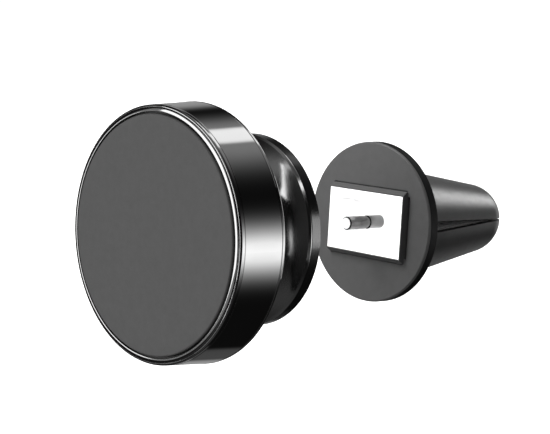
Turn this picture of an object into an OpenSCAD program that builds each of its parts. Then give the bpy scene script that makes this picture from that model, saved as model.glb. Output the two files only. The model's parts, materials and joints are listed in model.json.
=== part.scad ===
// Magnetic phone mount for a car's air vent, drawn pulled apart along its own axis.
// +Y runs from the phone pad to the tip of the vent clip, +Z is up. Millimetres.
// The origin lies on the floor of the louvre slot, where a vent blade's edge comes to rest.

/* [Magnet head] */

// Outside diameter of the polished side wall
head_d = 41; // [36:0.5:50]
// Depth of the head from the front ring to the back edge
head_depth = 8.5; // [7:0.1:12]
// Diameter of the flat soft face pad
pad_d = 37.1; // [36.5:0.1:37.2]
// Thickness of the face pad
pad_t = 1.0; // [0.9:0.05:1.2]
// How far the pad stands proud of the front ring
pad_proud = 0.36; // [0.3:0.02:0.4]
// Thickness of the polished bead round the pad
bead_d = 0.76; // [0.6:0.02:0.8]
// Wall thickness of the head shell
shell_t = 1.2; // [0.8:0.1:2]
// Number of magnets in the carrier
magnet_count = 8; // [4:1:10]
// Diameter of one magnet
magnet_d = 7.0; // [5:0.5:9]
// Thickness of one magnet
magnet_t = 1.9; // [1.5:0.1:2.0]
// Radius of the ring of magnets
magnet_ring_r = 12.4; // [11:0.1:12.6]
// Radius of the dished recess in the back of the head
dish_r = 11.5; // [10:0.1:14]
// Depth of the dished recess in the back of the head
dish_depth = 4.4; // [3:0.1:5]

/* [Ball joint] */

// Diameter of the steel ball
ball_d = 7.0; // [6:0.1:9]
// Diameter of the stud's neck beside the ball
stud_neck_d = 2.9; // [2.4:0.1:3.4]
// Outside diameter of the nylon ball seat
seat_d = 10.0; // [9:0.1:12]
// Running clearance of the ball and of the seat, on the radius
ball_clear = 0.03; // [0.01:0.01:0.08]
// Distance from the back of the head to the centre of the ball
ball_back = 2.0; // [1.5:0.1:3]

/* [Trumpet base] */

// Gap between the back of the head and the front of the base flange
head_gap = 10.1; // [9:0.1:14]
// Diameter of the base flange
flange_d = 31.0; // [27:0.1:36]
// Thickness of the base flange
flange_t = 2.55; // [2:0.05:4]
// Diameter of the waist of the trumpet
waist_d = 19.0; // [17:0.1:22]
// Radius of the hollow flare between waist and flange
flare_r = 10.4; // [8:0.1:14]
// Gap between the base and the vent disc while they are pulled apart
pull_gap = 27.35; // [20:0.05:40]

/* [Vent clip] */

// Diameter of the round vent disc
disc_d = 28.0; // [24:0.1:34]
// Thickness of the vent disc
disc_t = 2.42; // [2:0.02:4]
// Distance from the vent disc's face to the floor of the louvre slot
slot_back = 8.0; // [7:0.1:10]
// Width of the raised rectangular socket frame
frame_w = 16.86; // [15:0.02:18]
// Height of the white face of the socket
face_h = 10.7; // [9:0.1:12]
// Height of the socket frame where it meets the disc
frame_h = 12.4; // [11:0.1:14]
// How far the socket frame stands out from the disc
frame_t = 1.12; // [0.8:0.02:1.4]
// Thickness of the frame's two end walls
frame_wall = 0.2; // [0.15:0.05:0.3]
// Width of the well in the white socket
well_w = 12.8; // [11:0.1:14]
// Height of the well in the white socket
well_h = 7.6; // [6.5:0.1:9]
// Depth of the well behind the white face
well_depth = 3.9; // [3.6:0.1:4.4]
// Diameter of the steel pin
pin_d = 2.35; // [1.6:0.05:2.6]
// How far the pin reaches in front of the vent disc's face
pin_reach = 5.65; // [5:0.05:8]
// Radius of the clip body where it meets the disc
clip_root_r = 10.3; // [10.1:0.05:10.6]
// Distance from the slot's floor to the tip of the clip
clip_len = 24.8; // [23.5:0.1:28]
// Radius of the rounded tip
tip_r = 6.4; // [6.0:0.1:7.0]
// How far the body's centreline lies below the slot's
clip_drop = 0.4; // [0.3:0.05:0.5]
// Height of the louvre slot at its floor
slot_root = 2.0; // [1.8:0.1:2.6]
// Height of the louvre slot near the tips of the jaws
slot_tip = 0.4; // [0.3:0.1:0.8]
// Thickness of the rubber sleeve on each jaw
sleeve_t = 1.3; // [1:0.1:2]

/* [Hidden] */

$fn = 96;

// stations along the axis
y_disc = -slot_back;
y_disc_back = y_disc + disc_t;
y_face = y_disc - frame_t;
y_floor = y_face + well_depth;
y_base = y_disc - pull_gap;
y_flange = y_base - flange_t;
y_back = y_flange - head_gap;
y_head = y_back - head_depth;
y_ball = y_back + ball_back;
y_dish = y_back - dish_depth;
y_nose = y_back + 0.4;

head_r = head_d / 2;
ring_r = head_r - 0.53;
bead_out = ring_r - 0.39;
pad_r = pad_d / 2;
shell_in = head_r - shell_t;
y_pad = y_head - pad_proud;
y_pad_back = y_pad + pad_t;
y_plate = y_dish - 0.8;
keeper_t = 0.5;
keeper_r = 16.0;
y_keeper = y_plate - keeper_t;
ball_r = ball_d / 2;
seat_r = seat_d / 2;
neck_r = stud_neck_d / 2;
waist_r = waist_d / 2;
flange_r = flange_d / 2;
bore_r = 7.2;
nose_r = 7.0;
y_spring = y_ball + 3.85;
y_block = y_spring + 0.85;
y_tongue = y_base + well_depth - frame_t + 0.02;
tongue_w = well_w - 0.6;
tongue_h = well_h - 0.6;
pin_r = pin_d / 2;
y_tip = y_disc - pin_reach;
y_groove = y_disc - 0.87;
// the pin's groove, seen from the base once the two are pushed together
travel = pull_gap - 0.35;
y_catch = y_groove - travel;
catch_w = 0.7;

// screw positions
head_screw_r = 17.5;
base_screw_r = 12.1;
clip_screw_x = 5.5;
clip_screw_z = 7.1;
ring_in = disc_d / 2 - 0.6;

// taper and tip of the clip body
tip_y = clip_len - tip_r;
taper_a = atan(clip_root_r / (tip_y - y_disc_back))
    - asin(tip_r / sqrt(pow(clip_root_r, 2) + pow(tip_y - y_disc_back, 2)));
slot_fall = (slot_root - slot_tip) / 40;
spring_z = 7.3;
y_jaw = y_disc_back + 2.3;
y_core = y_disc_back + 2.0;

// colours
c_pad = [0.33, 0.33, 0.34];
c_chrome = [0.16, 0.16, 0.17];
c_steel = [0.72, 0.73, 0.75];
c_zinc = [0.55, 0.56, 0.58];
c_satin = [0.36, 0.36, 0.37];
c_black = [0.09, 0.09, 0.09];
c_gloss = [0.06, 0.06, 0.06];
c_rubber = [0.17, 0.17, 0.17];
c_white = [0.95, 0.95, 0.94];
c_nylon = [0.82, 0.81, 0.77];
c_magnet = [0.66, 0.67, 0.69];

// turns a radius and station profile about the axis of the mount
module spun()
{
    rotate([-90, 0, 0])
        rotate_extrude()
            children();
}

// points along an arc of radius r about [cx, cy], from angle a0 to a1
function arc(cx, cy, r, a0, a1, n = 6) =
    [for (i = [0 : n]) let (a = a0 + (a1 - a0) * i / n) [cx + r * cos(a), cy + r * sin(a)]];

// a plain ring or disc between two stations
module ring(r_out, y0, y1, r_in = 0)
{
    spun()
        translate([r_in, y0])
            square([r_out - r_in, y1 - y0]);
}

// a straight rod along the axis direction, at x and z
module rod(r, y0, y1, x = 0, z = 0)
{
    translate([x, y0, z])
        rotate([-90, 0, 0])
            cylinder(r = r, h = y1 - y0);
}

// a box given by its two ends on the axis, centred in width and height
module slab(w, h, y0, y1, r = 0)
{
    translate([0, y0, 0])
        rotate([-90, 0, 0])
            linear_extrude(y1 - y0)
                if (r > 0)
                {
                    square([w - 2 * r, h], center = true);
                    square([w, h - 2 * r], center = true);
                    for (sx = [-1, 1])
                        for (sy = [-1, 1])
                            translate([sx * (w / 2 - r), sy * (h / 2 - r)])
                                circle(r);
                }
                else
                {
                    square([w, h], center = true);
                }
}

// a screw whose head is at station y, with its shank towards the front (dir -1) or back (dir 1)
module screw(y, dir, head_r, head_h, shank_r, len, x, z)
{
    translate([x, y, z])
        rotate([-90 * dir, 0, 0])
            difference()
            {
                union()
                {
                    cylinder(r1 = head_r, r2 = shank_r, h = head_h);
                    cylinder(r = shank_r, h = len);
                }
                for (a = [0, 90])
                    rotate([0, 0, a])
                        translate([-head_r * 0.62, -0.16, -0.01])
                            cube([head_r * 1.24, 0.32, head_h * 0.55]);
            }
}

// the hole such a screw drops into
module screw_hole(y, dir, head_r, head_h, shank_r, len, x, z)
{
    translate([x, y, z])
        rotate([-90 * dir, 0, 0])
        {
            cylinder(r1 = head_r + 0.04, r2 = shank_r + 0.04, h = head_h + 0.02);
            cylinder(r = shank_r + 0.04, h = len + 0.3);
            translate([0, 0, -0.5])
                cylinder(r = head_r + 0.04, h = 0.51);
        }
}

// ---------------------------------------------------------------- magnet head

// soft flat pad the phone rests on, with a rounded edge
module face_pad()
{
    e = 0.3;
    color(c_pad)
        spun()
        {
            polygon([[0, y_pad], [pad_r - e, y_pad], [pad_r - e, y_pad + e],
                     [pad_r, y_pad + e], [pad_r, y_pad_back], [0, y_pad_back]]);
            translate([pad_r - e, y_pad + e])
                circle(e);
        }
}

// rolled polished bead between the pad and the side wall
module bead_ring()
{
    rb = bead_d / 2;
    yb = y_head + 0.2;
    color(c_chrome)
        spun()
        {
            translate([bead_out - rb, yb])
                circle(rb);
            translate([bead_out - bead_d, yb])
                square([bead_d, y_pad_back - 0.02 - yb]);
        }
}

// polished side wall: a rounded front lip, a fine groove, a slightly tapered wall,
// a second fine groove and a rounded back rim
module head_shell()
{
    lip = 0.34;
    rim = 0.28;
    seat = bead_out + 0.03;
    y_lip = y_head + 0.1 + lip;
    y_wall = y_head + 1.0;
    color(c_chrome)
        difference()
        {
            spun()
                polygon(concat(
                    [[shell_in, y_pad_back], [seat, y_pad_back], [seat, y_head + 0.18],
                     [seat + 0.06, y_head + 0.1]],
                    arc(ring_r - lip, y_lip, lip, -90, 0),
                    [[ring_r, y_wall - 0.16], [ring_r - 0.09, y_wall - 0.1],
                     [ring_r - 0.09, y_wall - 0.04], [ring_r + 0.03, y_wall],
                     [head_r - 0.05, y_back - 0.72], [head_r - 0.14, y_back - 0.66],
                     [head_r - 0.14, y_back - 0.6], [head_r, y_back - 0.54]],
                    arc(head_r - rim, y_back - rim, rim, 0, 90),
                    [[shell_in + 0.35, y_back], [shell_in, y_back - 0.35]]));
            // three short keyways that stop the back from turning
            for (a = [0, 120, 240])
                rotate([0, a, 0])
                    translate([shell_in - 0.5, y_back - 2, -0.8])
                        cube([0.9, 1.4, 1.6]);
        }
}

// moulded carrier that holds the magnets behind the pad
module magnet_carrier()
{
    color(c_black)
        difference()
        {
            ring(shell_in - 0.05, y_pad_back, y_back - 1.27);
            ring(3.7, y_pad_back - 1, y_back);
            ring(keeper_r + 0.08, y_keeper - 0.02, y_back);
            for (i = [0 : magnet_count - 1])
                rotate([0, i * 360 / magnet_count, 0])
                    rod(magnet_d / 2 + 0.05, y_keeper - magnet_t - 0.04, y_keeper + 1, magnet_ring_r, 0);
            for (a = [0, 120, 240])
                rotate([0, a + 60, 0])
                    rod(0.55, y_back - 3.8, y_back + 1, head_screw_r, 0);
        }
}

// ring of disc magnets
module magnets()
{
    color(c_magnet)
        for (i = [0 : magnet_count - 1])
            rotate([0, i * 360 / magnet_count, 0])
                rod(magnet_d / 2, y_keeper - magnet_t - 0.02, y_keeper - 0.02, magnet_ring_r, 0);
}

// thin steel plate that closes the magnetic circuit
module keeper_plate()
{
    color(c_zinc)
        difference()
        {
            ring(keeper_r, y_keeper, y_plate, 1.53);
            for (a = [90, 270])
                rotate([0, a, 0])
                    rod(0.6, y_keeper - 1, y_plate + 1, 6.4, 0);
        }
}

// dished back cover of the head
module head_back()
{
    color(c_black)
        difference()
        {
            spun()
                polygon([[1.53, y_plate], [keeper_r, y_plate], [keeper_r, y_back - 1.25],
                         [shell_in - 0.06, y_back - 1.25], [shell_in - 0.06, y_back - 0.3],
                         [shell_in - 0.36, y_back], [dish_r + 0.35, y_back],
                         [dish_r, y_back - 0.35], [dish_r, y_dish + 1.2],
                         [dish_r - 0.35, y_dish + 0.5], [dish_r - 1.2, y_dish], [1.53, y_dish]]);
            for (a = [0, 120, 240])
                rotate([0, a + 60, 0])
                    screw_hole(y_back - 0.25, -1, 1.3, 0.8, 0.6, 3.2, head_screw_r, 0);
        }
}

// countersunk screws in the back cover
module head_screws()
{
    color(c_steel)
        for (a = [0, 120, 240])
            rotate([0, a + 60, 0])
                screw(y_back - 0.25, -1, 1.25, 0.75, 0.5, 3.0, head_screw_r, 0);
}

// ----------------------------------------------------------------- ball joint

// ball, tapered neck, round foot and threaded end, turned in one piece
module ball_stud()
{
    color(c_steel)
        union()
        {
            translate([0, y_ball, 0])
                rotate([-90, 0, 0])
                    sphere(ball_r);
            spun()
                polygon([[0, y_ball - 1.5], [neck_r, y_ball - 1.5], [neck_r, y_ball - 4.2],
                         [2.1, y_ball - 5.0], [4.2, y_ball - 5.3], [4.4, y_ball - 5.45],
                         [4.4, y_dish + 0.3], [1.5, y_dish + 0.3], [1.5, y_keeper - 1.5],
                         [0, y_keeper - 1.5]]);
        }
}

// low-friction washer the head turns on
module stud_washer()
{
    color(c_nylon)
        ring(4.2, y_dish + 0.04, y_dish + 0.28, 1.52);
}

// lock nut inside the head that keeps the stud in
module stud_nut()
{
    color(c_steel)
        difference()
        {
            translate([0, y_keeper - 1.7, 0])
                rotate([-90, 0, 0])
                    cylinder(r = 3.1, h = 1.5, $fn = 6);
            rod(1.5, y_keeper - 3, y_keeper + 1);
        }
}

// front half of the nylon seat, round the stud's side of the ball
module seat_front()
{
    color(c_nylon)
        difference()
        {
            translate([0, y_ball, 0])
                rotate([-90, 0, 0])
                    sphere(seat_r);
            translate([0, y_ball, 0])
                rotate([-90, 0, 0])
                    sphere(ball_r + ball_clear);
            ring(seat_r + 1, y_ball - seat_r - 1, y_ball - 2.5);
            ring(seat_r + 1, y_ball - 0.02, y_ball + seat_r + 1);
        }
}

// back half of the nylon seat, pressed by the spring
module seat_rear()
{
    color(c_nylon)
        difference()
        {
            translate([0, y_ball, 0])
                rotate([-90, 0, 0])
                    sphere(seat_r);
            translate([0, y_ball, 0])
                rotate([-90, 0, 0])
                    sphere(ball_r + ball_clear);
            ring(seat_r + 1, y_ball - seat_r - 1, y_ball + 0.02);
            ring(seat_r + 1, y_ball + 2.6, y_ball + seat_r + 1);
        }
}

// -------------------------------------------------------------- trumpet base

// flared polished shell with its thin front lip
module neck_shell()
{
    ang = acos(1 - (flange_r - 0.35 - waist_r) / flare_r);
    y_arc = y_flange - flare_r * sin(ang);
    color(c_chrome)
        difference()
        {
            spun()
                difference()
                {
                    polygon([[0, y_nose], [waist_r - 0.4, y_nose], [waist_r, y_nose + 0.4],
                             [waist_r, y_arc], [flange_r - 0.35, y_flange],
                             [flange_r - 0.03, y_flange + 0.3], [flange_r - 0.03, y_flange + 0.42],
                             [flange_r - 1.25, y_flange + 0.42], [flange_r - 1.25, y_base - 1.53],
                             [0, y_base - 1.53]]);
                    translate([waist_r + flare_r, y_arc])
                        circle(flare_r, $fn = 180);
                }
            ring(bore_r, y_nose - 1, y_base + 1);
            ring(10.2, y_base - 3.1, y_base + 1);
            // blind threaded holes for the cover screws
            for (a = [0, 90, 180, 270])
                rotate([0, a + 45, 0])
                    rod(0.55, y_base - 3.0, y_base, base_screw_r, 0);
        }
}

// threaded ring that keeps the seat in the neck, with two spanner slots
module nose_ring()
{
    color(c_black)
        difference()
        {
            spun()
                polygon([[0, y_nose - 1.0], [nose_r - 0.5, y_nose - 1.0], [nose_r, y_nose - 0.5],
                         [nose_r, y_nose], [bore_r - 0.02, y_nose], [bore_r - 0.02, y_ball + 1.6],
                         [0, y_ball + 1.6]]);
            translate([0, y_ball, 0])
                rotate([-90, 0, 0])
                    sphere(seat_r + ball_clear);
            ring(seat_r + ball_clear, y_ball, y_ball + 3);
            for (s = [-1, 1])
                translate([s * 6.2 - 0.9, y_nose - 1.1, -0.5])
                    cube([1.8, 0.9, 1.0]);
        }
}

// follower with a spherical face that the spring pushes on the seat
module pressure_ring()
{
    color(c_steel)
        difference()
        {
            ring(bore_r - 0.05, y_ball + 2.3, y_spring - 0.02);
            translate([0, y_ball, 0])
                rotate([-90, 0, 0])
                    sphere(seat_r + ball_clear);
            ring(3.0, y_ball, y_block);
        }
}

// coned spring washer behind the follower
module seat_spring()
{
    color(c_steel)
        spun()
            polygon([[3.4, y_spring], [3.4, y_spring + 0.32], [6.9, y_block - 0.02],
                     [6.9, y_block - 0.34]]);
}

// block in the base that carries the pin's bore and the tongue
module socket_block()
{
    color(c_black)
        difference()
        {
            union()
            {
                ring(bore_r - 0.05, y_block, y_base - 3.0);
                ring(10.1, y_base - 3.05, y_base - 1.5);
                slab(tongue_w, tongue_h, y_base - 1.6, y_tongue, 1.0);
            }
            rod(pin_r + 0.03, y_block - 1, y_tongue + 1);
            // lead-in for the pin
            translate([0, y_tongue - 0.5, 0])
                rotate([-90, 0, 0])
                    cylinder(r1 = pin_r + 0.03, r2 = pin_r + 0.6, h = 0.51);
            // cross slot for the catch
            translate([-2.3, y_catch - catch_w / 2 - 0.05, -tongue_h])
                cube([4.6, catch_w + 0.1, tongue_h + 2.3]);
        }
}

// U-shaped spring catch that snaps into the pin's groove
module pin_catch()
{
    color(c_steel)
        translate([0, y_catch - catch_w / 2, 0])
            rotate([-90, 0, 0])
                linear_extrude(catch_w)
                    difference()
                    {
                        union()
                        {
                            circle(2.1);
                            translate([-2.1, 0])
                                square([4.2, 3.1]);
                        }
                        circle(pin_r + 0.05);
                        translate([-pin_r - 0.05, 0])
                            square([2 * pin_r + 0.1, 4]);
                    }
}

// glossy cover with the flange's rim and the window that takes the socket frame
module base_cover()
{
    color(c_gloss)
        difference()
        {
            spun()
                polygon([[0, y_base - 1.5], [flange_r - 1.22, y_base - 1.5],
                         [flange_r - 1.22, y_flange + 0.45], [flange_r - 0.08, y_flange + 0.45],
                         [flange_r, y_flange + 0.53], [flange_r, y_base - 0.3],
                         [flange_r - 0.3, y_base], [0, y_base]]);
            slab(frame_w + 2 * frame_wall + 0.8, frame_h + 0.8, y_base - 2, y_base + 1, 0.8);
            for (a = [0, 90, 180, 270])
                rotate([0, a + 45, 0])
                    screw_hole(y_base - 0.15, -1, 1.15, 0.7, 0.55, 2.6, base_screw_r, 0);
        }
}

// countersunk screws in the base cover
module base_screws()
{
    color(c_steel)
        for (a = [0, 90, 180, 270])
            rotate([0, a + 45, 0])
                screw(y_base - 0.15, -1, 1.1, 0.65, 0.5, 2.5, base_screw_r, 0);
}

// ------------------------------------------------------------------ vent clip

// sloped rail above or below the white face
module frame_rail(s)
{
    h0 = face_h / 2 + 0.03;
    h1 = frame_h / 2;
    w = frame_w + 2 * frame_wall;
    translate([-w / 2, 0, 0])
        rotate([90, 0, 90])
            linear_extrude(w)
                polygon([[y_face + 0.03, s * h0], [y_face + 0.03, s * (h0 + 0.16)],
                         [y_face + 0.4, s * (h0 + 0.42)], [y_disc - 0.25, s * h1],
                         [y_disc + 0.4, s * h1], [y_disc + 0.4, s * h0]]);
}

// round satin disc with its raised frame, the two end grooves and the fine foot grooves
module clip_disc()
{
    dr = disc_d / 2;
    end_x = frame_w / 2 + frame_wall;
    color(c_satin)
        difference()
        {
            union()
            {
                spun()
                    polygon([[0, y_disc], [dr - 0.3, y_disc], [dr - 0.1, y_disc + 0.16],
                             [dr - 0.04, y_disc + 0.42], [ring_in - 0.03, y_disc + 0.42],
                             [ring_in - 0.03, y_disc_back], [0, y_disc_back]]);
                for (s = [-1, 1])
                    frame_rail(s);
                slab(2 * end_x, face_h + 0.1, y_face + 0.03, y_disc + 0.4);
            }
            // opening for the white socket
            slab(frame_w - 0.9, face_h - 0.04, y_disc - 2, y_disc_back + 1, 0.5);
            slab(frame_w, face_h + 0.06, y_disc - 2, y_disc + 0.4);
            for (s = [-1, 1])
            {
                // rounded groove beyond each end of the frame
                translate([s * (end_x + 0.3), 0, 0])
                    slab(0.56, face_h + 0.1, y_disc - 1, y_disc + 0.7, 0.27);
                // fine groove along the foot of each rail
                translate([0, 0, s * (frame_h / 2 + 0.07)])
                    slab(2 * end_x, 0.24, y_disc - 0.2, y_disc + 0.25);
            }
            // threaded holes from behind
            for (sx = [-1, 1])
                for (sz = [-1, 1])
                    rod(0.55, y_disc + 0.7, y_disc_back + 1, sx * clip_screw_x, sz * clip_screw_z);
        }
}

// soft black ring round the disc's edge, which meets the vent without a rattle
module disc_ring()
{
    dr = disc_d / 2;
    color(c_black)
        spun()
            polygon([[ring_in, y_disc + 0.46], [dr - 0.14, y_disc + 0.46], [dr - 0.04, y_disc + 0.56],
                     [dr, y_disc_back - 0.35], [dr - 0.3, y_disc_back], [ring_in, y_disc_back]]);
}

// white nylon socket with the well round the pin
module socket_liner()
{
    color(c_white)
        difference()
        {
            union()
            {
                slab(frame_w, face_h, y_face, y_disc + 0.38);
                slab(frame_w - 0.94, face_h - 0.08, y_disc + 0.3, y_disc_back, 0.5);
                slab(well_w + 1.2, well_h + 1.2, y_disc_back - 0.1, y_floor + 0.8, 1.6);
            }
            slab(well_w, well_h, y_face - 1, y_floor, 1.5);
            rod(pin_r, y_floor - 1, y_floor + 3);
        }
}

// turned steel pin with its catch groove and hidden head
module steel_pin()
{
    color(c_steel)
        spun()
            polygon([[0, y_tip], [pin_r - 0.2, y_tip], [pin_r, y_tip + 0.2],
                     [pin_r, y_groove - 0.4], [pin_r - 0.16, y_groove - 0.3],
                     [pin_r - 0.16, y_groove + 0.3], [pin_r, y_groove + 0.4],
                     [pin_r, y_floor + 0.8], [2.1, y_floor + 0.8], [2.1, y_floor + 1.6],
                     [0, y_floor + 1.6]]);
}

// black nylon core: round foot behind the disc and the block that ends at the slot's floor
module clip_core()
{
    color(c_black)
        difference()
        {
            union()
            {
                translate([0, 0, -clip_drop])
                    ring(clip_root_r - 0.16, y_disc_back, y_core);
                slab(13.0, 7.6, y_disc_back, 0, 0.8);
                slab(well_w + 2.6, well_h + 2.6, y_disc_back, y_floor + 1.2, 3.0);
            }
            slab(well_w + 1.26, well_h + 1.26, y_disc_back - 1, y_floor + 0.82, 1.62);
            ring(2.15, y_floor, y_floor + 1.65);
            for (sx = [-1, 1])
                for (sz = [-1, 1])
                    screw_hole(y_core - 0.05, -1, 1.05, 0.65, 0.5, 3.0,
                               sx * clip_screw_x, sz * clip_screw_z);
            // slots that take the front ends of the jaw springs
            for (s = [-1, 1])
                translate([-3.35, y_disc_back + 0.5, s * (spring_z + 0.15) - 0.62])
                    cube([6.7, 3, 1.24]);
        }
}

// screws that hold the disc to the core
module clip_screws()
{
    color(c_steel)
        for (sx = [-1, 1])
            for (sz = [-1, 1])
                screw(y_core - 0.05, -1, 1.0, 0.6, 0.5, 2.9, sx * clip_screw_x, sz * clip_screw_z);
}

// tapered body with a round tip, drawn in by d all round, from station y0 on
module bullet(d = 0, y0 = 0)
{
    r0 = clip_root_r - (y0 - y_disc_back) * tan(taper_a) - d / cos(taper_a);
    translate([0, 0, -clip_drop])
        spun()
            polygon(concat([[0, y0], [r0, y0]], arc(0, tip_y, tip_r - d, taper_a, 90, 24)));
}

// half space on one side of the louvre slot, whose faces close towards the tip
module jaw_side(s, lift = 0)
{
    g0 = slot_root / 2 + lift;
    g1 = slot_tip / 2 + lift;
    translate([-15, 0, 0])
        rotate([90, 0, 90])
            linear_extrude(30)
                polygon([[-12, s * g0], [0, s * g0], [20, s * g1], [clip_len - 1.6, s * g1],
                         [clip_len + 0.5, s * (g1 + 0.7)], [clip_len + 0.5, s * 15],
                         [-12, s * 15]]);
}

// stiff nylon prong inside a jaw
module prong(s)
{
    color(c_black)
        difference()
        {
            intersection()
            {
                bullet(sleeve_t + 0.02, y_jaw);
                jaw_side(s, 1.35);
            }
            // room for the core's block
            slab(20, 11.4, y_jaw - 1, 0.5);
            // pocket for the flat spring
            translate([0, y_jaw, s * spring_z])
                rotate([s * -9.5, 0, 0])
                    translate([-3.1, -1, -0.42])
                        cube([6.2, 17.2, 0.84]);
        }
}

// soft rubber sleeve over a prong
module sleeve(s)
{
    color(c_rubber)
        difference()
        {
            intersection()
            {
                bullet(0, y_jaw);
                jaw_side(s);
            }
            intersection()
            {
                bullet(sleeve_t, y_jaw - 1);
                jaw_side(s, -1);
            }
        }
}

// ribbed rubber pad on the gripping side of a jaw
module grip(s)
{
    color(c_rubber)
        intersection()
        {
            bullet(sleeve_t + 0.02, 0.6);
            difference()
            {
                jaw_side(s);
                jaw_side(s, 1.33);
                for (y = [1.4 : 1.5 : 21])
                    translate([-15, y, s * (slot_root / 2 - slot_fall * y - 1.2) - 1.65])
                        cube([30, 0.8, 3.3]);
            }
        }
}

// flat spring that presses a jaw shut
module jaw_spring(s)
{
    color(c_steel)
        translate([0, y_jaw, s * spring_z])
            rotate([s * -9.5, 0, 0])
                translate([-3, -0.9, -0.3])
                    cube([6, 17, 0.6]);
}

face_pad();
bead_ring();
head_shell();
magnet_carrier();
magnets();
keeper_plate();
head_back();
head_screws();
ball_stud();
stud_washer();
stud_nut();
seat_front();
seat_rear();
neck_shell();
nose_ring();
pressure_ring();
seat_spring();
socket_block();
pin_catch();
base_cover();
base_screws();
clip_disc();
disc_ring();
socket_liner();
steel_pin();
clip_core();
clip_screws();
prong(1);  // upper_prong
sleeve(1);  // upper_sleeve
grip(1);  // upper_grip
jaw_spring(1);  // upper_spring
prong(-1);  // lower_prong
sleeve(-1);  // lower_sleeve
grip(-1);  // lower_grip
jaw_spring(-1);  // lower_spring
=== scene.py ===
"""Magnetic phone mount for a car's air vent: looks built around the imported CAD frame."""
import json
import math

import bmesh
import bpy
from mathutils import Euler, Matrix, Vector


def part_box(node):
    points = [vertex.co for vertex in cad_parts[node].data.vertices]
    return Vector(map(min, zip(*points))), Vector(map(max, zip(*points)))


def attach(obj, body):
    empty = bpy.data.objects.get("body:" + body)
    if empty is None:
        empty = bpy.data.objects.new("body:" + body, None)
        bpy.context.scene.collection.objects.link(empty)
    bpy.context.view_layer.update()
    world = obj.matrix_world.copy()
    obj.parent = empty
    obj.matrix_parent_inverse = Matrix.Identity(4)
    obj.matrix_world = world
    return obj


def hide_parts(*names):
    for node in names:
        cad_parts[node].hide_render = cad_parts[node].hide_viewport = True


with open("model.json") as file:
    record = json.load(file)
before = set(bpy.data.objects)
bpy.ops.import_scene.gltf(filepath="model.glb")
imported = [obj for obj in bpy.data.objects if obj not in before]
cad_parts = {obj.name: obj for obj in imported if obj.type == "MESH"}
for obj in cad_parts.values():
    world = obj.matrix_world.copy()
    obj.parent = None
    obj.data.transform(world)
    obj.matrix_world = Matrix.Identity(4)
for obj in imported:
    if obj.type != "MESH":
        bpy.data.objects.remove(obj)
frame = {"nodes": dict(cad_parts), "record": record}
scene = bpy.context.scene
MM = 0.001

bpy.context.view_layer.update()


# ------------------------------------------------------------------ camera and stage

def make_camera(place, tilt, lean, turn, lens):
    """A full-frame camera that looks straight down, then is tilted up, leaned and turned, in degrees."""
    data = bpy.data.cameras.new("camera")
    data.sensor_width = 36.0
    data.lens = lens
    data.clip_start = 0.01
    data.clip_end = 50.0
    camera = bpy.data.objects.new("camera", data)
    scene.collection.objects.link(camera)
    aim = Euler([math.radians(angle) for angle in (tilt, lean, turn)], "XYZ")
    camera.matrix_world = Matrix.LocRotScale(Vector(place), aim, None)
    scene.camera = camera


def make_world(key, fill, backdrop, towards):
    """A soft studio dome, bright on one side: key from the direction towards, fill opposite.

    The camera sees the plain backdrop instead, and polished surfaces see the light tents.
    """
    scene.view_settings.view_transform = "Standard"
    world = bpy.data.worlds.new("studio")
    scene.world = world
    world.use_nodes = True
    nodes, links = world.node_tree.nodes, world.node_tree.links
    side = nodes.new("ShaderNodeVectorMath")
    side.operation = "DOT_PRODUCT"
    side.inputs[1].default_value = Vector(towards).normalized()
    spread = nodes.new("ShaderNodeMapRange")
    spread.interpolation_type = "SMOOTHSTEP"
    spread.inputs["From Min"].default_value = -0.25
    spread.inputs["From Max"].default_value = 0.9
    spread.inputs["To Min"].default_value = fill
    spread.inputs["To Max"].default_value = key
    path = nodes.new("ShaderNodeLightPath")
    level = nodes.new("ShaderNodeMix")
    level.data_type = "FLOAT"
    level.inputs["B"].default_value = backdrop
    dome = nodes["Background"]
    dome.inputs["Color"].default_value = (1.0, 1.0, 1.0, 1.0)
    links.new(nodes.new("ShaderNodeTexCoord").outputs["Generated"], side.inputs[0])
    links.new(side.outputs["Value"], spread.inputs["Value"])
    links.new(spread.outputs["Result"], level.inputs["A"])
    links.new(path.outputs["Is Camera Ray"], level.inputs["Factor"])
    links.new(level.outputs["Result"], dome.inputs["Strength"])
    world.cycles_visibility.glossy = False


def make_floor(height, finish):
    """A plain pale floor that throws no light back on the mount."""
    form = bmesh.new()
    bmesh.ops.create_grid(form, x_segments=24, y_segments=24, size=4.0)
    mesh = bpy.data.meshes.new("floor")
    form.to_mesh(mesh)
    form.free()
    floor = bpy.data.objects.new("floor", mesh)
    floor.location.z = height
    scene.collection.objects.link(floor)
    mesh.materials.append(finish)
    floor.visible_glossy = False
    floor.visible_diffuse = False
    return floor


def tent_finish():
    """Emission that follows the tent's own glow attribute."""
    mat = bpy.data.materials.new("tent")
    mat.use_nodes = True
    nodes, links = mat.node_tree.nodes, mat.node_tree.links
    nodes.clear()
    glow = nodes.new("ShaderNodeAttribute")
    glow.attribute_name = "glow"
    lamp = nodes.new("ShaderNodeEmission")
    out = nodes.new("ShaderNodeOutputMaterial")
    links.new(glow.outputs["Fac"], lamp.inputs["Strength"])
    links.new(lamp.outputs["Emission"], out.inputs["Surface"])
    return mat


def tent_glow(angle, strips, base):
    """Brightness of the tent at an angle about the mount's axis, 0 at +X and 90 at +Z."""
    total = base
    for centre, width, level, crispness in strips:
        gap = (angle - centre + 180.0) % 360.0 - 180.0
        total += level * math.exp(-abs(gap / width) ** crispness)
    return total


def hide_from_all_but_gloss(panel):
    """A stage panel that only shows in reflections."""
    panel.visible_camera = False
    panel.visible_diffuse = False
    panel.visible_transmission = False
    panel.visible_volume_scatter = False
    panel.visible_shadow = False


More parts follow.
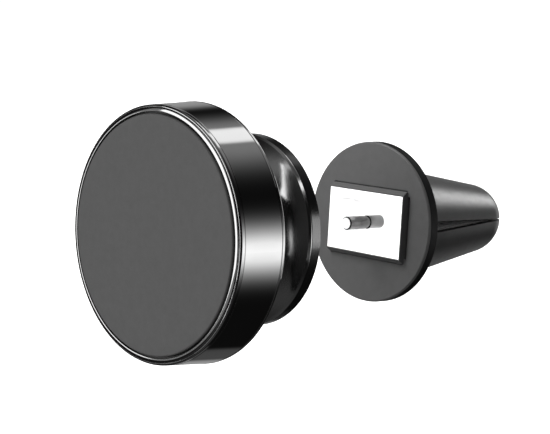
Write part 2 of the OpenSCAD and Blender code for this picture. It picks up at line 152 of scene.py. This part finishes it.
def make_tent(name, y_from, y_to, strips, base, end=0.0, radius=0.8, columns=720):
    """A light tent round the mount's axis, with soft strips of light, and an end wall at y_to."""
    form = bmesh.new()
    layer = form.verts.layers.float.new("glow")
    turns = [2.0 * math.pi * i / columns for i in range(columns)]

    def ring(y, glows):
        verts = [form.verts.new((radius * math.cos(t), y, radius * math.sin(t))) for t in turns]
        for vert, glow in zip(verts, glows):
            vert[layer] = glow
        return verts

    around = [tent_glow(math.degrees(t), strips, base) for t in turns]
    near, far = ring(y_from, around), ring(y_to, around)
    for i in range(columns):
        j = (i + 1) % columns
        form.faces.new((near[i], near[j], far[j], far[i]))
    form.faces.new(ring(y_to, [end] * columns))
    mesh = bpy.data.meshes.new(name)
    form.to_mesh(mesh)
    form.free()
    tent = bpy.data.objects.new(name, mesh)
    scene.collection.objects.link(tent)
    mesh.materials.append(tent_finish())
    hide_from_all_but_gloss(tent)


def mirror_spot(point, normal, distance):
    """Where a lamp stands for the camera to see its highlight at a point of a surface."""
    point, normal = Vector(point), Vector(normal).normalized()
    view = (scene.camera.matrix_world.translation - point).normalized()
    return point + distance * (2.0 * normal.dot(view) * normal - view)


def light_only(lamp, *things):
    """Let a lamp reach only these objects."""
    group = bpy.data.collections.new(lamp.name + "_reach")
    for thing in things:
        group.objects.link(thing)
    lamp.light_linking.receiver_collection = group


def soft_box(name, place, target, size, radiance, reach=()):
    """A soft rectangular lamp at a place, turned to its target; it lights only the nodes in reach."""
    data = bpy.data.lights.new(name, "AREA")
    data.shape = "RECTANGLE"
    data.size, data.size_y = size
    data.energy = radiance * math.pi * size[0] * size[1]
    lamp = bpy.data.objects.new(name, data)
    scene.collection.objects.link(lamp)
    place, target = Vector(place), Vector(target)
    lamp.location = place
    lamp.rotation_mode = "QUATERNION"
    lamp.rotation_quaternion = (target - place).to_track_quat("-Z", "Y")
    lamp.visible_camera = False
    if reach:
        light_only(lamp, *(frame["nodes"][node] for node in reach))
    return lamp


def highlight(name, spot, normal, distance, size, radiance, reach=()):
    """A soft box whose mirror image the camera sees where the surface has this normal."""
    return soft_box(name, mirror_spot(spot, normal, distance), spot, size, radiance, reach)


# ------------------------------------------------------------------ materials

class Finish:
    """A small builder for one procedural material, in object coordinates."""

    def __init__(self, name, **constants):
        self.mat = bpy.data.materials.new(name)
        self.mat.use_nodes = True
        self.nodes = self.mat.node_tree.nodes
        self.links = self.mat.node_tree.links
        self.shader = self.nodes["Principled BSDF"]
        self.place = self.nodes.new("ShaderNodeTexCoord").outputs["Object"]
        for socket, value in constants.items():
            self.shader.inputs[socket.replace("_", " ")].default_value = value

    def noise(self, size_mm, detail=3.0, stretch=(1.0, 1.0, 1.0)):
        """Noise whose features are about size_mm across, divided by stretch along each axis."""
        spread = self.nodes.new("ShaderNodeMapping")
        spread.inputs["Scale"].default_value = stretch
        grain = self.nodes.new("ShaderNodeTexNoise")
        grain.inputs["Scale"].default_value = 1.0 / (size_mm * MM)
        grain.inputs["Detail"].default_value = detail
        self.links.new(self.place, spread.inputs["Vector"])
        self.links.new(spread.outputs["Vector"], grain.inputs["Vector"])
        return grain.outputs["Fac"]

    def colour(self, level, dark, light):
        """Base colour between two tones."""
        ramp = self.nodes.new("ShaderNodeValToRGB")
        for stop, place, tone in zip(ramp.color_ramp.elements, (0.3, 0.7), (dark, light)):
            stop.position = place
            stop.color = (*tone, 1.0)
        self.links.new(level, ramp.inputs["Fac"])
        self.links.new(ramp.outputs["Color"], self.shader.inputs["Base Color"])
        return self

    def roughness(self, level, smooth, rough):
        """Roughness between two values."""
        spread = self.nodes.new("ShaderNodeMapRange")
        spread.inputs["From Min"].default_value = 0.3
        spread.inputs["From Max"].default_value = 0.7
        spread.inputs["To Min"].default_value = smooth
        spread.inputs["To Max"].default_value = rough
        self.links.new(level, spread.inputs["Value"])
        self.links.new(spread.outputs["Result"], self.shader.inputs["Roughness"])
        return self

    def bump(self, level, height_mm, strength=1.0):
        """Fine relief of the surface."""
        relief = self.nodes.new("ShaderNodeBump")
        relief.inputs["Distance"].default_value = height_mm * MM
        relief.inputs["Strength"].default_value = strength
        self.links.new(level, relief.inputs["Height"])
        self.links.new(relief.outputs["Normal"], self.shader.inputs["Normal"])
        return self


def grey(tone, warmth=0.0):
    """A neutral tone, or a slightly warm one."""
    return (tone, tone * (1.0 - 0.3 * warmth), tone * (1.0 - warmth))


def pad_rubber():
    """Matt soft-touch silicone with a very fine grain."""
    f = Finish("pad_rubber", Specular_IOR_Level=0.35)
    f.colour(f.noise(1.2, 4.0), grey(0.057), grey(0.062))
    f.roughness(f.noise(0.4, 3.0), 0.55, 0.62)
    return f.bump(f.noise(0.09, 2.0), 0.004, 0.6).mat


def black_chrome():
    """Dark polished plating with faint haze."""
    f = Finish("black_chrome", Metallic=1.0)
    f.colour(f.noise(6.0, 3.0), grey(0.54), grey(0.56))
    f.roughness(f.noise(2.5, 4.0), 0.035, 0.055)
    return f.mat


def flare_chrome():
    """The same plating on the base's flare, a little softer."""
    f = Finish("flare_chrome", Metallic=1.0)
    f.colour(f.noise(6.0, 3.0), grey(0.50), grey(0.53))
    f.roughness(f.noise(2.5, 4.0), 0.10, 0.13)
    return f.mat


def black_plastic():
    """Moulded nylon, fine spark finish."""
    f = Finish("black_plastic", Specular_IOR_Level=0.5)
    f.colour(f.noise(1.6, 4.0), grey(0.016), grey(0.021))
    f.roughness(f.noise(0.7, 4.0), 0.34, 0.42)
    return f.bump(f.noise(0.12, 2.0), 0.004, 0.5).mat


def gloss_black():
    """Piano-black moulding."""
    f = Finish("gloss_black", Specular_IOR_Level=0.2)
    f.colour(f.noise(4.0, 3.0), grey(0.004), grey(0.006))
    f.roughness(f.noise(2.0, 4.0), 0.16, 0.20)
    return f.mat


def satin_plastic():
    """Dark grey moulding with a satin face."""
    f = Finish("satin_plastic", Specular_IOR_Level=0.15)
    f.colour(f.noise(1.5, 4.0), grey(0.057), grey(0.063))
    f.roughness(f.noise(0.5, 4.0), 0.38, 0.46)
    return f.bump(f.noise(0.10, 2.0), 0.004, 0.5).mat


def clip_rubber():
    """Smooth black rubber of the jaws."""
    f = Finish("clip_rubber", Specular_IOR_Level=0.2)
    f.colour(f.noise(1.8, 4.0), grey(0.012), grey(0.016))
    f.roughness(f.noise(0.8, 4.0), 0.32, 0.38)
    return f.bump(f.noise(0.12, 2.0), 0.003, 0.5).mat


def white_nylon():
    """White moulded socket."""
    f = Finish("white_nylon", Specular_IOR_Level=0.4)
    f.colour(f.noise(3.0, 3.0), grey(0.93), grey(0.96))
    f.roughness(f.noise(1.0, 3.0), 0.45, 0.55)
    return f.mat


def seat_nylon():
    """Natural nylon of the ball's seat and washer."""
    f = Finish("seat_nylon", Specular_IOR_Level=0.4)
    f.colour(f.noise(3.0, 3.0), grey(0.62, 0.06), grey(0.66, 0.06))
    f.roughness(f.noise(1.0, 3.0), 0.42, 0.52)
    return f.mat


def pin_steel():
    """Dark drawn steel of the guide pin, with fine lines along it."""
    f = Finish("pin_steel", Metallic=1.0)
    f.colour(f.noise(2.0, 3.0), grey(0.13), grey(0.16))
    f.roughness(f.noise(0.5, 4.0, (4.0, 0.2, 4.0)), 0.14, 0.20)
    return f.mat


def grip_rubber_painted_light():
    """The jaws' ribbed gripping faces, in a greyer rubber than their skins; the grey is raised further as
    painted light, so the shaded slot between the jaws reads lighter.
    """
    f = Finish("grip_rubber_painted_light", Specular_IOR_Level=0.5)
    f.colour(f.noise(1.2, 4.0), grey(0.09), grey(0.11))
    f.roughness(f.noise(0.6, 4.0), 0.45, 0.55)
    return f.bump(f.noise(0.12, 2.0), 0.004, 0.5).mat


def ring_rubber():
    """Soft dull rubber round the edge of the clip's disc."""
    f = Finish("ring_rubber", Specular_IOR_Level=0.12)
    f.colour(f.noise(1.8, 4.0), grey(0.006), grey(0.009))
    f.roughness(f.noise(0.8, 4.0), 0.45, 0.55)
    return f.bump(f.noise(0.12, 2.0), 0.003, 0.5).mat


def steel():
    """Turned steel: fine rings round the axis."""
    f = Finish("steel", Metallic=1.0)
    f.colour(f.noise(2.0, 3.0), grey(0.50), grey(0.56))
    f.roughness(f.noise(0.5, 4.0, (0.2, 4.0, 0.2)), 0.16, 0.22)
    return f.mat


def plated_magnet():
    """Bright nickel plating."""
    f = Finish("plated_magnet", Metallic=1.0)
    f.colour(f.noise(4.0, 3.0), grey(0.52), grey(0.57))
    f.roughness(f.noise(1.0, 3.0), 0.14, 0.20)
    return f.mat


def floor_paint():
    """Matt white paper of the studio floor."""
    f = Finish("floor_paint", Specular_IOR_Level=0.0)
    f.colour(f.noise(200.0, 3.0), grey(0.86), grey(0.88))
    f.roughness(f.noise(150.0, 3.0), 0.9, 0.95)
    return f.mat


def dress_frame(finishes, special):
    """Give every CAD node the finish of its slot in the record, or its own variant of it."""
    finish_of = {row["node"]: row["material_slot"] for row in frame["record"]["subparts"]}
    finish_of.update(special)
    for name, node in frame["nodes"].items():
        if not node.material_slots:
            node.data.materials.append(None)
        for slot in node.material_slots:
            slot.material = finishes[finish_of[name]]


# ------------------------------------------------------------------ pieces

def lathe(name, profile, finish, steps=256):
    """Turn a closed profile of (radius, station) points about the mount's axis."""
    form = bmesh.new()
    rows = []
    for radius, y in profile:
        if radius < 1e-6:
            rows.append([form.verts.new((0.0, y, 0.0))])
            continue
        turns = [2.0 * math.pi * i / steps for i in range(steps)]
        rows.append([form.verts.new((radius * math.cos(t), y, radius * math.sin(t))) for t in turns])
    for a, b in zip(rows, rows[1:]):
        for i in range(steps):
            j = (i + 1) % steps
            corners = [a[i % len(a)], a[j % len(a)], b[j % len(b)], b[i % len(b)]]
            form.faces.new(list(dict.fromkeys(corners)))
    bmesh.ops.recalc_face_normals(form, faces=form.faces)
    mesh = bpy.data.meshes.new(name)
    form.to_mesh(mesh)
    form.free()
    mesh.shade_smooth()
    mesh.materials.append(finish)
    piece = bpy.data.objects.new(name, mesh)
    scene.collection.objects.link(piece)
    return piece


def make_pad_skin(finish):
    """The soft pad: a barely crowned face that rolls over a round edge to its flat back."""
    low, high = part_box("face_pad")
    radius = (high.x - low.x) / 2.0
    edge = 0.3 * MM
    crown = 0.04 * MM
    flat = radius - edge
    face = [(flat * t, low.y + crown * t * t) for t in (0.0, 0.15, 0.35, 0.55, 0.75, 0.9, 1.0)]
    turns = [math.radians(10.0 * i) for i in range(1, 10)]
    roll = [(flat + edge * math.sin(t), low.y + crown + edge * (1.0 - math.cos(t))) for t in turns]
    ease = 0.1 * MM
    back = [(radius, high.y - ease), (radius - ease, high.y), (flat * 0.5, high.y), (0.0, high.y)]
    pad = lathe("pad_skin", face + roll + back, finish)
    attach(pad, "head")
    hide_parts("face_pad")


def make_bead_skin(finish):
    """The polished bead: a low crest that leans outwards, on a straight skirt."""
    low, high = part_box("bead_ring")
    radius = (high.x - low.x) / 2.0
    half = 0.34 * MM
    centre = radius - 0.38 * MM
    rise = 0.08 * MM
    lean = 0.05 * MM
    turns = [math.radians(6.0 * i - 90.0) for i in range(31)]
    crest = [(centre + half * math.sin(t), low.y + rise * (1.0 - math.cos(t)) + lean * (1.0 + math.sin(t)))
             for t in turns]
    skirt = [(centre + half, high.y), (centre - half, high.y)]
    bead = lathe("bead_skin", crest + skirt + crest[:1], finish, steps=512)
    bead.modifiers.new("crisp_edges", "EDGE_SPLIT").split_angle = math.radians(35.0)
    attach(bead, "head")
    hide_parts("bead_ring")


def ease_edges(node, width_mm, angle):
    """Round a node's sharp edges a little, as moulded rubber has them."""
    bevel = frame["nodes"][node].modifiers.new("eased_edges", "BEVEL")
    bevel.width = width_mm * MM
    bevel.segments = 3
    bevel.limit_method = "ANGLE"
    bevel.angle_limit = math.radians(angle)
    bevel.harden_normals = True


# ------------------------------------------------------------------ the scene

# the photograph's viewing angle: in front of the head, to its right, a little above
make_camera((0.18142, -0.20674, 0.03150), tilt=83.2837, lean=-3.2740, turn=46.2434, lens=101.73)
make_world(key=2.2, fill=0.30, backdrop=1.05, towards=(-0.75, -0.6, 0.3))
floor = make_floor(-0.10, floor_paint())

# angle about the mount's axis, half width, brightness and crispness of each strip of light
make_tent("tent_behind", 0.0, 2.5, [
    (-9, 16, 1.75, 2),
    (97, 9, 1.15, 8),
    (106, 14, 0.26, 2),
    (82, 18, 0.27, 2),
    (-157, 22, 0.34, 8),
    (-122, 12, 0.08, 6),
    (164, 19, 0.36, 4),
], base=0.006, end=1.2)
make_tent("tent_ahead", 0.0, -2.5, [
    (97, 20, 0.20, 2),
    (-90, 30, 0.05, 2),
], base=0.010)

# the spots that the lamps are turned to
disc_face = Vector((0.0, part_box("clip_disc")[0].y, 0.0))
pin_face = Vector((0.0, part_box("steel_pin")[0].y, 0.0))
flange_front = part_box("neck_shell")[1].y / MM
flare_top = Vector((10.0, flange_front - 2.5, 8.4)) * MM
flare_right = Vector((13.5, flange_front - 1.5, -1.0)) * MM
rim_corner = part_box("base_cover")[1]
rim_side = Vector((rim_corner.x, rim_corner.y, 0.0))
jaw_crown = Vector((6.7, 8.0, 4.3)) * MM
jaw_belly = Vector((6.0, 8.0, -5.0)) * MM
floor_middle = Vector((0.0, 0.0, 0.0))
jaws = ["upper_sleeve", "lower_sleeve"]

# highlights: spot, normal there, distance, size, brightness, and the nodes that the lamp reaches;
# one with no nodes lights everything, and the two front_left ones draw the bright line on the bead
highlight("pin_light", pin_face, (0.0, -1.0, 0.0), 0.6, (0.12, 0.12), 6.6, ["steel_pin"])
highlight("front_left", disc_face, (0.085, -1.0, 0.112), 0.8, (0.42, 0.42), 1.7)
highlight("front_left_wide", disc_face, (0.13, -1.0, 0.10), 0.9, (0.80, 0.80), 0.25)
highlight("front_top", flare_top, (0.46, -0.80, 0.37), 0.8, (0.50, 0.20), 1.9, ["neck_shell"])
highlight("front_right", flare_right, (0.64, -0.77, -0.05), 0.8, (0.16, 0.24), 0.4)
highlight("over_jaws", jaw_crown, (0.80, 0.16, 0.58), 0.9, (0.28, 0.22), 13.0, jaws)
highlight("jaw_top", jaw_crown, (0.60, 0.16, 0.78), 0.9, (0.60, 0.60), 0.3, ["upper_sleeve"])
highlight("rim_light", rim_side, (0.99, 0.0, 0.11), 0.5, (0.20, 0.24), 10.0, ["base_cover"])
highlight("under_jaw", jaw_belly, (0.75, 0.10, -0.65), 0.11, (0.06, 0.06), 0.35, ["lower_sleeve"])

# fills: place, spot, size, brightness, and the nodes that the lamp reaches
soft_box("slot_fill", (0.38, -0.15, 0.10), jaw_crown, (0.20, 0.20), 18.0, ["upper_grip", "lower_grip"])
soft_box("socket_fill", (0.18, -0.24, 0.06), disc_face, (0.20, 0.20), 13.0, ["socket_liner"])
soft_box("disc_wash", (-0.03, -0.06, 0.07), disc_face, (0.03, 0.03), 30.0, ["clip_disc"])
floor_wash = soft_box("floor_wash", (0.0, 0.0, 3.0), floor_middle, (9.0, 9.0), 1.6)
light_only(floor_wash, floor)

finishes = {make.__name__: make() for make in (
    pad_rubber, black_chrome, flare_chrome, black_plastic, gloss_black, satin_plastic, clip_rubber,
    grip_rubber_painted_light, ring_rubber, white_nylon, seat_nylon, steel, pin_steel, plated_magnet)}
dress_frame(finishes, {
    "neck_shell": "flare_chrome",
    "steel_pin": "pin_steel",
    "disc_ring": "ring_rubber",
    # the grips get a rubber whose grey is partly painted light, lifting the shaded slot
    "upper_grip": "grip_rubber_painted_light",
    "lower_grip": "grip_rubber_painted_light",
})
make_pad_skin(finishes["pad_rubber"])
make_bead_skin(finishes["black_chrome"])
for jaw in jaws:
    ease_edges(jaw, 0.12, 50.0)
ease_edges("neck_shell", 0.10, 40.0)
